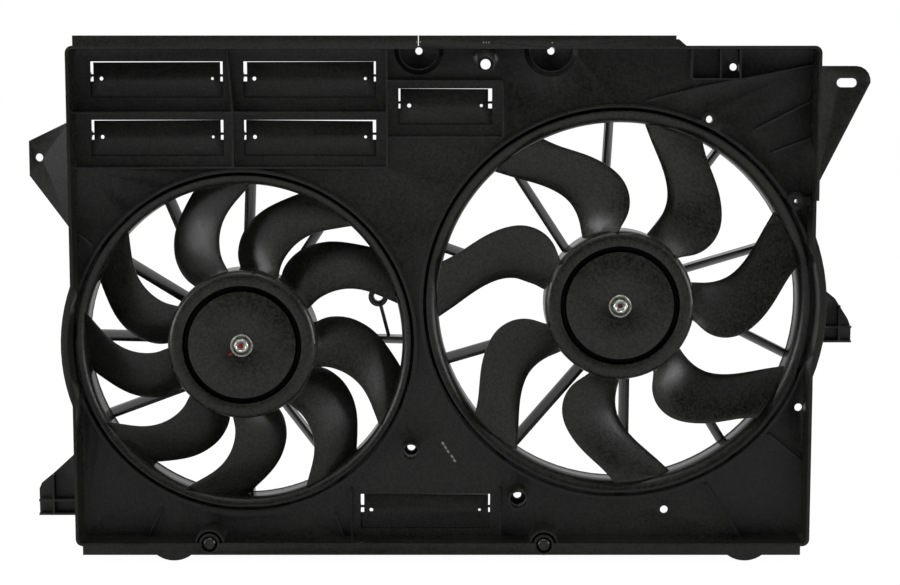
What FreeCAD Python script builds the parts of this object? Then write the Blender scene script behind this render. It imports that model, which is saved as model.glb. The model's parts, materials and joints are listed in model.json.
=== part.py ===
# Dual radiator fan assembly: one moulded shroud, two banded fans on electric motors, six relief flaps.
# Millimetres. X runs to the right seen from the radiator, Z up, and -Y towards the radiator.
# The origin is under the middle of the assembly, on the plane of its two feet.
import FreeCAD, Part
import math
import os

Vector = FreeCAD.Vector
UP_Y = Vector(0, 1, 0)

# Shroud body: depths are counted rearwards from the front rim
EAR_SPAN = 800.0
LEFT_WALL_X = -360.0
RIGHT_WALL_X = 347.5
WALL_STEP = 2.5
WALL_STEP_Z = 348.0
FOOT_DROP = 6.0
TOP_LIP_H = 9.5
BOTTOM_LIP_H = 8.5
LIP_T = 2.5
BODY_H = 479.0
RECESS = 32.0
PANEL_T = 2.5
WALL_T = 3.0
CORNER_R = 7.0
TOP_LIP_X = (-352.7, 213.0)
TOP_LIP_STEP = (2.5, 3.5)
BOTTOM_LIP_X = (-353.2, 338.8)
FOOT_X = (-265.5, 285.5)
FOOT_R = 28.0
FOOT_DEPTH = (3.0, 23.0)
BODY_Z0 = FOOT_DROP + BOTTOM_LIP_H
BODY_Z1 = BODY_Z0 + BODY_H

# Fans
LEFT_FAN_X = -199.0
LEFT_FAN_Z = 208.5
RIGHT_FAN_X = 164.0
RIGHT_FAN_Z = 246.5
LEFT_BAND_R = 153.5
RIGHT_BAND_R = 174.5
LEFT_FLARE_W = 8.5
RIGHT_FLARE_W = 11.5
BAND_T = 2.0
BAND_FRONT = 31.0
BAND_L = 26.0
RUN_GAP = 3.2
HUB_R = 72.0
HUB_T = 2.5
HUB_EDGE_R = 7.5
HUB_FRONT = 13.0
HUB_RIBS = 9
GROOVE_IN_R = 51.5
GROOVE_OUT_R = 57.4
GROOVE_D = 8.0
GROOVE_SLOPE = 1.0
GROOVE_WALL = 1.5
HUB_BOSS_T = 4.0
HUB_RIB_SHORT = 1.0
BLADE_T = 2.4
BLADE_CAMBER = 0.35
BLADE_EDGE_THIN = 0.5
BLADE_RUN_ON = 0.08

# Blade stations from root to tip: share of the span, angle of the front edge and of the rear edge
LEFT_STATIONS = [(0.0, 100.5, 132.9), (0.12, 102.7, 133.9), (0.25, 103.1, 132.9), (0.38, 102.1, 130.7),
                 (0.5, 100.3, 127.6), (0.62, 97.7, 123.8), (0.75, 94.0, 118.7), (0.88, 90.0, 113.2),
                 (1.0, 86.8, 108.6)]
RIGHT_STATIONS = [(0.0, 39.9, 67.0), (0.12, 35.1, 64.4), (0.25, 33.5, 63.5), (0.38, 35.0, 64.8),
                  (0.5, 38.6, 67.8), (0.62, 44.4, 71.6), (0.75, 52.0, 75.8), (0.88, 59.1, 79.3),
                  (1.0, 63.2, 81.8)]

# Where each blade stands, counted from the first; the left fan's steps are uneven, as on the real fan
LEFT_BLADE_TURNS = [0.0, 48.8, 82.7, 123.8, 161.4, 205.9, 241.5, 287.7, 320.6]
RIGHT_BLADE_TURNS = [360.0 * i / 7 for i in range(7)]

# Depths of a blade's front edge at its root and tip, and of its rear edge
LEFT_BLADE_DEPTHS = (21.0, 32.0, 52.0)
RIGHT_BLADE_DEPTHS = (14.0, 28.0, 44.0)

# Barrels, struts and motor carriers
BARREL_T = 3.5
BARREL_PROUD = 3.5
BARREL_L = 33.0
LEFT_BULGE_R = 171.7
RIGHT_BULGE_R = 196.0
BULGE_FACE = 3.0
REAR_FLANGE_T = 3.0
REAR_FLANGE_OUT = 0.3
STRUT_W = 9.0
STRUT_D = 19.0
STRUT_EDGE_W = 2.5
STRUT_REAR_EDGE = 2.5
STRUT_NOSE = 0.8
STRUT_BELLY = (0.42, 0.6)
EAR_ROOM = 0.5
EYELET = (-69.8, 249.0)
EYELET_FOOT = (-58.6, 205.5)
EYELET_R = 9.7
EYELET_HOLE_R = 4.5
EYELET_STALK_W = 3.0
CARRIER_W = 13.5
CARRIER_D = 11.0
PAD_T = 3.3
PAD_SPREAD = 15.0

# Struts: the way each one points, and how far it runs to the left of the fan's axis
LEFT_STRUTS = [(358.3, 1.2), (56.6, -0.8), (87.6, 2.0), (112.8, 17.2), (148.4, -1.6), (178.6, 1.6),
               (200.3, 24.2), (232.0, 0.0), (270.0, 0.0), (307.4, -13.1)]
RIGHT_STRUTS = [(16.5, 8.4), (53.0, 8.0), (86.7, 16.7), (123.1, 14.0), (160.5, 8.0), (196.3, 10.4),
                (229.2, 18.1), (269.7, 10.4), (301.9, 16.0), (333.4, 26.6)]

# Relief windows: left edge, top edge, width, then the slits over the flap's left and right corners and
# the slots at its left and right sides, which differ a little because the flaps hang askew
WINDOW_H = 34.3
WIDE_WINDOW = 126.5
FIRST_ROW_Z = BODY_Z1 - 14.3
SECOND_ROW_Z = BODY_Z1 - 69.9
SMALL_WINDOW_Z = BODY_Z1 - 40.0
LOW_WINDOW_Z = BODY_Z0 + 44.4
WINDOW_SIZES = [(-342.5, FIRST_ROW_Z, WIDE_WINDOW, (0.9, 0.5), (2.5, 2.8)),
                (-342.5, SECOND_ROW_Z, WIDE_WINDOW, (0.7, 0.1), (2.2, 3.0)),
                (-196.3, FIRST_ROW_Z, WIDE_WINDOW, (0.5, 0.1), (3.2, 2.0)),
                (-196.3, SECOND_ROW_Z, WIDE_WINDOW, (0.1, 1.2), (1.8, 3.2)),
                (-48.3, SMALL_WINDOW_Z, 89.5, (0.1, 0.5), (1.8, 3.6)),
                (-86.4, LOW_WINDOW_Z, WIDE_WINDOW, (0.6, 0.9), (3.2, 1.6))]
FLAP_T = 1.6
FLAP_GAP = 0.5
FLAP_LAP = 3.0
HINGE_DROP = 13.3
LAP_START = 5.6
HINGE_SETBACK = 2.7
FLAP_PIN_R = 1.25
FLAP_CHEEK_R = 2.0
FLAP_CHEEK_L = 6.0
FLAP_HOLE_R = (1.9, 1.4)
FLAP_HOLE_IN = 10.2
FLAP_HOLE_DROP = 3.0
FLAP_BOSS_W = 1.9
FLAP_BOSS_H = 1.4
LUG_W = 4.5
LUG_R = 3.0
PIN_CLEAR = 0.08

# Ribs on the panel's front
RIB_T = 2.0
RIB_H = 12.0
LOW_RIB_H = 4.0
COLUMN_RIB_X = (-206.0, -59.0)
COLUMN_RIB_LEAN = 5.0
ROW_RIB_Z = BODY_Z1 - 62.7
BAY_BOTTOM_Z = BODY_Z1 - 115.3
SMALL_BAY = (51.6, BODY_Z1 - 32.8, BODY_Z1 - 86.0)
LOW_BAY_X = (-95.0, 50.0)
LOW_BAY_TOP_Z = BODY_Z0 + 50.5
CORNER_RIBS = [(189.4, 442.0, 233.2, 453.1), (233.2, 453.1, 347.0, 476.3), (292.2, 414.0, 347.0, 442.5),
               (309.8, 392.5, 347.0, 407.0), (311.0, 119.0, 344.5, 91.0), (251.0, 69.5, 285.0, 17.5),
               (-357.0, 316.0, -344.0, 304.0), (-280.5, 45.5, -295.0, 17.5), (-111.0, 40.0, -103.0, 17.5)]
POCKETS = [(-28.6, 23.5), (97.2, 25.5)]
POCKET_DROP = 3.5
POCKET_HOLE_R = 3.4
POCKET_HOLE_DROP = 4.5
POCKET_SLIT_W = 0.8
POCKET_SLOPE = 4.6
POCKET_EDGE_W = 1.2
POCKET_H = 9.0
CLIP_BOX = (230.7, 276.4, BODY_Z1 - 31.0)
CLIP_BOX_RIB_X = 258.0

# Plain holes through the panel: x, z and radius
CLIP_BOX_HOLE = (271.3, BODY_Z1 - 19.6, 3.5)
PANEL_HOLES = [(340.2, 144.8, 3.8), (210.6, 43.4, 3.8), CLIP_BOX_HOLE]

# Bosses on the panel: x, z, radius of the hole, radius and height of the boss
CUP_BOSSES = [(-36.7, 106.0, 3.9, 9.0, 27.0), (66.8, 58.6, 3.9, 10.0, 27.0)]
CUP_WALL = 2.0
CUP_FLOOR = 2.0
UPPER_BOSS = (248.5, 424.3, 3.5, 7.5, 8.0)
UPPER_BOSS_LOBE = (254.5, 418.5, 6.0)
SIDE_BOSS = (332.2, 346.4, 2.2, 8.5, 12.0)
BORED_BOSSES = CUP_BOSSES + [UPPER_BOSS, SIDE_BOSS]
TOP_BOSS = (34.9, BODY_Z1 - 11.5, 12.0, 24.0)
TOP_BOSS_CHAMFER = 3.5
TOP_BOSS_BORE_R = 4.9
TOP_BOSS_BORE_DROP = 5.5
TOP_BOSS_CUP_R = 7.8
TOP_BOSS_CUP_D = 20.0

# Ears and tabs outside the walls
EAR_DEPTH = 20.0
EAR_T = 4.0
LEFT_EAR_HOLE = (-390.5, 388.2)
LEFT_EAR_HOLE_R = 3.8
RIGHT_EAR_SLOT = (377.7, 459.0)
RIGHT_EAR_SLOT_L = 19.5
RIGHT_EAR_SLOT_R = 4.25
EAR_ROOT_IN = 2.0
LEFT_EAR_Z = (424.0, 403.9, 370.9, 314.0)
RIGHT_EAR_Z = (474.9, 459.0, 354.0)
RIGHT_EAR_CORNER = 14.0
TAB_RIB_H = 8.0

# Side tabs: top of the root, outline from there round to the tip's bottom, cross rib, and the upright rib
# with its top
LEFT_TAB_TOP_Z = 106.0
LEFT_TAB = [(-383.1, 83.0), (-395.5, 72.8), (-398.0, 67.1), (-398.0, 42.5)]
LEFT_TAB_RIB_Z = 57.0
LEFT_TAB_UPRIGHT = (-383.0, 82.0)
RIGHT_TAB_TOP_Z = 266.0
RIGHT_TAB = [(371.0, 253.0), (383.7, 233.1), (386.7, 225.3), (386.7, 211.4)]
RIGHT_TAB_RIB_Z = 226.3
RIGHT_TAB_UPRIGHT = (374.0, 247.0)
RIGHT_TAB_ROOT_IN = 5.0
TAB_RIB_SHORT = 1.0

# Isolator pins low on the panel
PIN_PLACES = [(-231.2, 16.6), (91.6, 15.6)]
ISO_HEAD_R = 7.2
ISO_HEAD_L = 6.0
ISO_NECK_R = 4.5
ISO_STEM_R = 3.5
ISO_BOSS_R = 10.0
ISO_BOSS_FRONT = 1.0
ISO_BACK_L = 10.0
ISO_ARCH_R = 14.0
ISO_CLEAR = 0.15
ISO_HEAD_CLEAR = 0.5

# Motors
SHAFT_R = 4.0
SHAFT_FRONT = 8.2
SHAFT_EDGE = 0.8
CAN_R = 45.0
CAN_T = 2.0
CAN_FRONT = 30.0
CAN_L = 60.0
CAN_EDGE = 4.0
COVER_T = 3.0
COVER_BOSS_L = 6.0
COVER_SKIN = 2.0
BEARING_R = 11.0
BEARING_L = 7.0
FIT_CLEAR = 0.05
MOTOR_FLANGE_T = 2.5
MOTOR_EARS = 3
MOTOR_EAR_R = 7.0
SCREW_OUT = 8.0
SCREW_R = 2.5
SCREW_HEAD_R = 4.5
SCREW_HEAD_L = 3.0
CARRIER_CLEAR = 1.5
CORE_R = 28.0
CORE_L = 26.0
CORE_SPACE = 3.0
CORE_SLOTS = 10
SLOT_W = 3.4
SLOT_ROOT_R = 16.0
WINDING_CLEAR = 0.2
END_TURN_L = 5.0
END_TURN_IN = 1.0
END_TURN_DEEP = 4.0
MAGNET_IN_R = 29.5
MAGNET_COUNT = 4
MAGNET_SPAN = 70.0
MAGNET_OVERHANG = 2.0
COMM_R = 10.0
COMM_L = 7.0
COMM_SPACE = 1.5
BRUSH_W = 5.0
BRUSH_L = 12.0
BRUSH_CLEAR = 0.3
CARD_T = 2.5
CARD_HOLE_CLEAR = 3.0
INSERT_R = 9.0
INSERT_L = 14.0
INSERT_FLANGE_W = 2.0
INSERT_FLANGE_T = 1.5
WASHER_R = 11.0
WASHER_T = 1.5
WASHER_EDGE = 0.5
WASHER_RIM_W = 1.4
WASHER_DISH = 0.6
NUT_AF = 12.4
NUT_H = 5.2
NUT_SINK_W = 0.9
NUT_CHAMFER_IN = 0.3
NUT_CHAMFER_L = 1.2
CONNECTOR_W = 24.0
CONNECTOR_H = 14.0
CONNECTOR_UP = 5.0
CONNECTOR_WALL = 2.0
CONNECTOR_PIN_PITCH = 10.0
CONNECTOR_PIN_W = 3.0
CONNECTOR_PIN_T = 0.8

OVERALL_DEPTH = CAN_FRONT + CAN_L + COVER_T + COVER_BOSS_L
RIM_Y = -OVERALL_DEPTH / 2
PANEL_REAR = RECESS + PANEL_T
BAND_REAR = BAND_FRONT + BAND_L
BARREL_FRONT = RECESS - BARREL_PROUD
BARREL_REAR = BARREL_FRONT + BARREL_L + REAR_FLANGE_T
STRUT_FRONT = BARREL_REAR - 1.0
STRUT_REAR = STRUT_FRONT + STRUT_D
CARRIER_FRONT = STRUT_REAR - CARRIER_D
CARRIER_IN_R = CAN_R + CARRIER_CLEAR
CARRIER_OUT_R = CARRIER_IN_R + CARRIER_W
SCREW_PCD_R = CAN_R + SCREW_OUT
HINGE_DEPTH = PANEL_REAR + HINGE_SETBACK


class Fan:
    """One fan's place and sizes, with the radii that follow from them."""

    def __init__(self, side, x, z, band_r, flare_w, bulge_r, turns, depths, stations, struts):
        self.side = side
        self.x = x
        self.z = z
        self.band_r = band_r
        self.flare_r = band_r + flare_w
        self.barrel_r = self.flare_r + RUN_GAP
        self.lip_r = self.barrel_r + BARREL_T
        self.bulge_r = bulge_r
        self.turns = turns
        self.depths = depths
        self.stations = stations
        self.struts = struts


FANS = [
    Fan("left", LEFT_FAN_X, LEFT_FAN_Z, LEFT_BAND_R, LEFT_FLARE_W, LEFT_BULGE_R,
        LEFT_BLADE_TURNS, LEFT_BLADE_DEPTHS, LEFT_STATIONS, LEFT_STRUTS),
    Fan("right", RIGHT_FAN_X, RIGHT_FAN_Z, RIGHT_BAND_R, RIGHT_FLARE_W, RIGHT_BULGE_R,
        RIGHT_BLADE_TURNS, RIGHT_BLADE_DEPTHS, RIGHT_STATIONS, RIGHT_STRUTS),
]


class Window:
    """One relief window's edges, the height of its flap's hinge, and the flap's slits and slots."""

    def __init__(self, left, top, width, slits, slots):
        self.left = left
        self.right = left + width
        self.top = top
        self.bottom = top - WINDOW_H
        self.hinge_z = top - HINGE_DROP
        self.slits = slits
        self.slots = slots


WINDOWS = [Window(*sizes) for sizes in WINDOW_SIZES]


def box(x0, x1, d0, d1, z0, z1):
    """A box between two X, two depths behind the rim, and two Z."""
    return Part.makeBox(x1 - x0, d1 - d0, z1 - z0, Vector(x0, RIM_Y + d0, z0))


def rod(x, z, r, d0, d1):
    """A cylinder along Y between two depths."""
    return Part.makeCylinder(r, d1 - d0, Vector(x, RIM_Y + d0, z), UP_Y)


def tube(x, z, r_out, r_in, d0, d1):
    """A ring along Y between two depths."""
    return rod(x, z, r_out, d0, d1).cut(rod(x, z, r_in, d0, d1))


def cross_rod(x0, x1, depth, z, r):
    """A cylinder along X."""
    return Part.makeCylinder(r, x1 - x0, Vector(x0, RIM_Y + depth, z), Vector(1, 0, 0))


def plate(points, d0, d1):
    """A flat plate with the outline of the given X, Z points, between two depths."""
    corners = [Vector(x, RIM_Y + d0, z) for x, z in points]
    face = Part.Face(Part.makePolygon(corners + corners[:1]))
    return face.extrude(Vector(0, d1 - d0, 0))


def turned(profile, x, z):
    """A solid turned about a Y axis at X, Z from a closed outline of radius, depth points."""
    points = [Vector(r, RIM_Y + d, 0) for r, d in profile]
    face = Part.Face(Part.makePolygon(points + points[:1]))
    solid = face.revolve(Vector(0, 0, 0), UP_Y, 360)
    solid.translate(Vector(x, 0, z))
    return solid


def arc_points(centre_r, centre_d, radius, start, end, steps):
    """Points of radius, depth on an arc, for a turned outline."""
    angles = [math.radians(start + (end - start) * i / steps) for i in range(steps + 1)]
    return [(centre_r + radius * math.cos(a), centre_d + radius * math.sin(a)) for a in angles]


def wall_between(x0, z0, x1, z1, thick, d0, d1):
    """A straight rib standing on the panel between two X, Z points."""
    length = math.hypot(x1 - x0, z1 - z0)
    nx = -(z1 - z0) / length * thick / 2
    nz = (x1 - x0) / length * thick / 2
    return plate([(x0 + nx, z0 + nz), (x1 + nx, z1 + nz), (x1 - nx, z1 - nz), (x0 - nx, z0 - nz)], d0, d1)


def around(shape, fan, count, start=0.0):
    """Copies of a shape turned about a fan's axis at even steps."""
    copies = []
    for i in range(count):
        copy = shape.copy()
        copy.rotate(Vector(fan.x, 0, fan.z), UP_Y, -(start + 360.0 * i / count))
        copies.append(copy)
    return copies


def body_block(inset, d0, d1):
    """The body's outline without its side bulges, drawn in by an inset, between two depths."""
    x0 = LEFT_WALL_X + inset
    x1 = RIGHT_WALL_X - inset
    z0 = BODY_Z0 + inset
    z1 = BODY_Z1 - inset
    outline = [(x0, z0), (x1, z0), (x1, WALL_STEP_Z), (x1 + WALL_STEP, WALL_STEP_Z),
               (x1 + WALL_STEP, z1), (x0, z1)]
    block = plate(outline, d0, d1)
    corners = [e for e in block.Edges if is_corner_edge(e, (x0, x1, x1 + WALL_STEP), (z0, z1))]
    return block.makeFillet(CORNER_R - inset, corners)


def bulge(fan, inset, d0, d1):
    """The round of one side bulge, drawn in by an inset, between two depths."""
    return rod(fan.x, fan.z, fan.bulge_r - inset, d0, d1)


def bulge_hollow(fan):
    """The hollow behind the face of one side bulge, between the barrel and the side wall."""
    hollow = bulge(fan, WALL_T, BULGE_FACE + WALL_T, PANEL_REAR + 1.0)
    hollow = hollow.cut(rod(fan.x, fan.z, fan.lip_r + WALL_T / 2, 0, PANEL_REAR + 1.0))
    return hollow.cut(body_block(0.0, 0, PANEL_REAR + 1.0))


def is_corner_edge(edge, xs, zs):
    """Whether an edge runs along Y through one of the outline's outer corners."""
    start = edge.Vertexes[0].Point
    end = edge.Vertexes[-1].Point
    if abs(start.y - end.y) < 1.0:
        return False
    at_x = any(abs(start.x - x) < 0.01 for x in xs)
    at_z = any(abs(start.z - z) < 0.01 for z in zs)
    return at_x and at_z


def lips_and_feet():
    """The lips along the top and bottom of the rim, and the two half-round feet."""
    left, right = TOP_LIP_X
    overlap = WALL_T
    step_x, step_h = TOP_LIP_STEP
    end = BODY_Z1 + TOP_LIP_H
    low = BODY_Z1 - overlap
    far = right + TOP_LIP_H
    top = plate([(left, low), (far, low), (far, BODY_Z1), (right + step_x, end - step_h),
                 (right, end - step_h), (right, end), (left, end)], 0, LIP_T)
    left, right = BOTTOM_LIP_X
    bottom = box(left, right, 0, LIP_T, FOOT_DROP, BODY_Z0 + overlap)
    feet = []
    for x in FOOT_X:
        disc = rod(x, FOOT_R, FOOT_R, FOOT_DEPTH[0] - 1.0, FOOT_DEPTH[1])
        feet.append(disc.common(box(x - FOOT_R, x + FOOT_R, 0, FOOT_DEPTH[1], 0, BODY_Z0 + overlap / 2)))
    return [top, bottom] + feet


def barrel(fan):
    """The barrel round one fan, with its rear flange."""
    wall = tube(fan.x, fan.z, fan.lip_r, fan.barrel_r, BARREL_FRONT, BARREL_REAR)
    flange_r = fan.band_r + REAR_FLANGE_OUT
    flange = tube(fan.x, fan.z, fan.lip_r, flange_r, BARREL_REAR - REAR_FLANGE_T, BARREL_REAR)
    return wall.fuse(flange)


def lip_pad(fan, middle):
    """A short thicker stretch of a barrel's lip, centred on an angle."""
    ring = tube(fan.x, fan.z, fan.lip_r + PAD_T, fan.barrel_r, BARREL_FRONT, RECESS + PANEL_T / 2)
    reach = 2 * fan.lip_r
    low = math.radians(middle - PAD_SPREAD)
    high = math.radians(middle + PAD_SPREAD)
    wedge = plate([(fan.x, fan.z), (fan.x + reach * math.cos(low), fan.z + reach * math.sin(low)),
                   (fan.x + reach * math.cos(high), fan.z + reach * math.sin(high))], 0, PANEL_REAR)
    return ring.common(wedge)


def strut(fan, direction, offset):
    """One strut from the motor carrier out to the barrel: a wedge with one side curved back."""
    half = STRUT_W / 2
    inner = math.sqrt((CARRIER_OUT_R - BARREL_T) ** 2 - offset ** 2)
    outer = math.sqrt((fan.barrel_r + BARREL_T / 2) ** 2 - offset ** 2)
    front = RIM_Y + STRUT_FRONT
    rear = RIM_Y + STRUT_REAR
    nose = half - STRUT_EDGE_W
    low = rear - STRUT_REAR_EDGE
    share_across, share_back = STRUT_BELLY

    def at(across, y):
        return Vector(inner, y, offset + across)

    belly = at(nose - share_back * (nose + half), front + share_across * (low - front))
    curve = Part.Arc(at(-half, low), belly, at(nose, front)).toShape()
    corners = [at(nose, front), at(half - STRUT_NOSE, front), at(half, front + STRUT_NOSE), at(half, rear),
               at(-half, rear), at(-half, low)]
    outline = Part.Wire([curve] + Part.makePolygon(corners).Edges)
    bar = Part.Face(outline).extrude(Vector(outer - inner, 0, 0))
    bar.translate(Vector(fan.x, 0, fan.z))
    bar.rotate(Vector(fan.x, 0, fan.z), UP_Y, -direction)
    return bar


def motor_carrier(fan):
    """The ring that holds one motor, with its struts and the room for the motor's ears."""
    ring = tube(fan.x, fan.z, CARRIER_OUT_R, CARRIER_IN_R, CARRIER_FRONT, STRUT_REAR)
    bars = [strut(fan, direction, offset) for direction, offset in fan.struts]
    carrier = ring.multiFuse(bars)
    hole = rod(fan.x + SCREW_PCD_R, fan.z, SCREW_R + FIT_CLEAR, CARRIER_FRONT, STRUT_REAR)
    room = rod(fan.x + SCREW_PCD_R, fan.z, MOTOR_EAR_R + EAR_ROOM, BARREL_REAR - STRUT_D, CARRIER_FRONT)
    for copy in around(hole.fuse(room), fan, MOTOR_EARS, 90.0):
        carrier = carrier.cut(copy)
    return carrier


def motor_mount(fan):
    """The moulding's rear part behind one fan: carrier and struts, seated on the barrel's rear flange."""
    mount = motor_carrier(fan)
    if fan.side == "left":
        mount = mount.fuse(eyelet())
    return mount.cut(barrel(fan))


def window_cut(window):
    """The opening of one relief window."""
    return box(window.left, window.right, RECESS - 1.0, PANEL_REAR + 1.0, window.bottom, window.top)


def hinge_lugs(window):
    """The two lugs behind the panel that carry one flap's pins."""
    z = window.hinge_z
    lugs = []
    for x0 in (window.left - LUG_W, window.right):
        block = box(x0, x0 + LUG_W, RECESS + PANEL_T / 2, HINGE_DEPTH, z - LUG_R, z + LUG_R)
        lugs.append(block.fuse(cross_rod(x0, x0 + LUG_W, HINGE_DEPTH, z, LUG_R)))
    return lugs


def hinge_holes(window):
    """The holes through one window's two lugs."""
    r = FLAP_PIN_R + PIN_CLEAR
    return [cross_rod(x0, x0 + LUG_W + 2.0, HINGE_DEPTH, window.hinge_z, r)
            for x0 in (window.left - LUG_W - 1.0, window.right - 1.0)]


def panel_ribs():
    """The ribs that frame the relief windows and stiffen the panel."""
    front = RECESS - RIB_H
    low = RECESS - LOW_RIB_H
    into = RECESS + PANEL_T / 2
    left_x, mid_x = COLUMN_RIB_X
    right_x, small_top, small_bottom = SMALL_BAY
    low_left, low_right = LOW_BAY_X
    walls = [
        (left_x - COLUMN_RIB_LEAN, BODY_Z1 - WALL_T, left_x, ROW_RIB_Z, front),
        (left_x, ROW_RIB_Z, left_x, BAY_BOTTOM_Z, front),
        (mid_x, BODY_Z1 - WALL_T, mid_x, BAY_BOTTOM_Z, front),
        (LEFT_WALL_X + WALL_T, ROW_RIB_Z, mid_x, ROW_RIB_Z, front),
        (LEFT_WALL_X + WALL_T, BAY_BOTTOM_Z, mid_x, BAY_BOTTOM_Z, low),
        (mid_x, small_top, right_x, small_top, front),
        (mid_x, small_bottom, right_x, small_bottom, low),
        (right_x, small_top, right_x, small_bottom, low),
        (low_left, BODY_Z0 + WALL_T, low_left, LOW_BAY_TOP_Z, low),
        (low_right, BODY_Z0 + WALL_T, low_right, LOW_BAY_TOP_Z, low),
    ]
    return [wall_between(x0, z0, x1, z1, RIB_T, d0, into) for x0, z0, x1, z1, d0 in walls]


def corner_ribs():
    """Low ribs that run from the fan openings out to the walls."""
    low = RECESS - LOW_RIB_H
    into = RECESS + PANEL_T / 2
    return [wall_between(x0, z0, x1, z1, RIB_T, low, into) for x0, z0, x1, z1 in CORNER_RIBS]


def top_pockets():
    """The half-round pockets under the top wall."""
    centre_z = BODY_Z1 - POCKET_DROP
    keep = box(LEFT_WALL_X, RIGHT_WALL_X, 0, PANEL_REAR, BODY_Z0, BODY_Z1 - WALL_T / 2)
    front = RECESS - POCKET_H
    into = RECESS + PANEL_T / 2
    rings = []
    for x, r in POCKETS:
        edge = r - POCKET_SLOPE
        rings.append(turned([(r, into), (r, RECESS), (edge, front), (edge - POCKET_EDGE_W, front),
                             (edge - POCKET_EDGE_W, into)], x, centre_z))
    return [ring.common(keep) for ring in rings]


def clip_box():
    """The small three-sided box under the top wall at the right."""
    left, right, bottom = CLIP_BOX
    front = RECESS - RIB_H
    into = RECESS + PANEL_T / 2
    top = BODY_Z1 - WALL_T
    return [wall_between(left, bottom, right, bottom, RIB_T, front, into),
            wall_between(left, bottom, left, top, RIB_T, front, into),
            wall_between(right, bottom, right, top, RIB_T, front, into),
            wall_between(CLIP_BOX_RIB_X, bottom, CLIP_BOX_RIB_X, top, RIB_T, front, into)]


def bosses():
    """The bored bosses on the panel's front, without their holes."""
    solids = [rod(x, z, boss_r, RECESS - height, PANEL_REAR)
              for x, z, hole_r, boss_r, height in BORED_BOSSES]
    x, z, r, height = TOP_BOSS
    front = RECESS - height
    solids.append(turned([(0, front), (r - TOP_BOSS_CHAMFER, front), (r, front + TOP_BOSS_CHAMFER),
                          (r, PANEL_REAR), (0, PANEL_REAR)], x, z))
    x, z, r = UPPER_BOSS_LOBE
    solids.append(rod(x, z, r, RECESS - UPPER_BOSS[4], PANEL_REAR))
    x, z, hole_r, boss_r, height = SIDE_BOSS
    half = boss_r / 2
    solids.append(box(x, RIGHT_WALL_X - WALL_T / 2, RECESS - height, PANEL_REAR, z - half, z + half))
    return solids


def panel_holes():
    """Every plain hole through the panel and its bosses."""
    depth = PANEL_REAR + 1.0
    holes = [rod(x, z, r, -1.0, depth) for x, z, r in PANEL_HOLES]
    holes += [rod(x, z, hole_r, -1.0, depth) for x, z, hole_r, boss_r, height in BORED_BOSSES]
    holes += [rod(x, z, boss_r - CUP_WALL, -1.0, RECESS - CUP_FLOOR)
              for x, z, hole_r, boss_r, height in CUP_BOSSES]
    x, z, r, height = TOP_BOSS
    z -= TOP_BOSS_BORE_DROP
    holes.append(rod(x, z, TOP_BOSS_BORE_R, -1.0, depth))
    holes.append(rod(x, z, TOP_BOSS_CUP_R, -1.0, RECESS - height + TOP_BOSS_CUP_D))
    for x, r in POCKETS:
        holes.append(rod(x, BODY_Z1 - POCKET_HOLE_DROP, POCKET_HOLE_R, -1.0, depth))
    x = POCKETS[0][0]
    half = POCKET_SLIT_W / 2
    slit_low = BODY_Z1 - POCKET_HOLE_DROP
    holes.append(box(x - half, x + half, -1.0, LIP_T + 1.0, slit_low, BODY_Z1 + TOP_LIP_H + 1.0))
    return holes


def left_ear():
    """The upper left mounting ear with its round hole."""
    tip = -EAR_SPAN / 2
    root = LEFT_WALL_X + EAR_ROOT_IN
    root_top, tip_top, tip_bottom, root_bottom = LEFT_EAR_Z
    ear = plate([(root, root_top), (tip, tip_top), (tip, tip_bottom), (root, root_bottom)],
                EAR_DEPTH, EAR_DEPTH + EAR_T)
    x, z = LEFT_EAR_HOLE
    return ear.cut(rod(x, z, LEFT_EAR_HOLE_R, EAR_DEPTH, EAR_DEPTH + EAR_T))


def right_ear():
    """The upper right mounting ear with its slot."""
    tip = EAR_SPAN / 2
    root = RIGHT_WALL_X + WALL_STEP - EAR_ROOT_IN
    top, tip_z, root_bottom = RIGHT_EAR_Z
    r = RIGHT_EAR_CORNER
    corner = [(tip - r + r * math.cos(math.radians(a)), top - r + r * math.sin(math.radians(a)))
              for a in (90, 70, 50, 30, 10, 0)]
    ear = plate([(root, top)] + corner + [(tip, tip_z), (root, root_bottom)], EAR_DEPTH, EAR_DEPTH + EAR_T)
    x, z = RIGHT_EAR_SLOT
    half = RIGHT_EAR_SLOT_L / 2 - RIGHT_EAR_SLOT_R
    slot = box(x - half, x + half, EAR_DEPTH, EAR_DEPTH + EAR_T, z - RIGHT_EAR_SLOT_R, z + RIGHT_EAR_SLOT_R)
    for end in (x - half, x + half):
        slot = slot.fuse(rod(end, z, RIGHT_EAR_SLOT_R, EAR_DEPTH, EAR_DEPTH + EAR_T))
    return ear.cut(slot)


def side_tabs():
    """The lower left and right tabs with their cross ribs."""
    front = EAR_DEPTH - TAB_RIB_H
    rear = EAR_DEPTH + EAR_T
    half = RIB_T / 2
    solids = []
    right_root = RIGHT_FAN_X + RIGHT_BULGE_R - RIGHT_TAB_ROOT_IN
    for root, top, outline, cross_z, upright, short in (
            (LEFT_WALL_X + EAR_ROOT_IN, LEFT_TAB_TOP_Z, LEFT_TAB, LEFT_TAB_RIB_Z, LEFT_TAB_UPRIGHT,
             TAB_RIB_SHORT),
            (right_root, RIGHT_TAB_TOP_Z, RIGHT_TAB, RIGHT_TAB_RIB_Z, RIGHT_TAB_UPRIGHT,
             -TAB_RIB_SHORT)):
        tip, low = outline[-1]
        solids.append(plate([(root, top)] + outline + [(root, low)], EAR_DEPTH, rear))
        for z in (low + half, cross_z):
            solids.append(wall_between(root, z, tip + short, z, RIB_T, front, rear))
        x, upright_top = upright
        solids.append(wall_between(x, low, x, upright_top, RIB_T, front, rear))
    return solids


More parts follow.
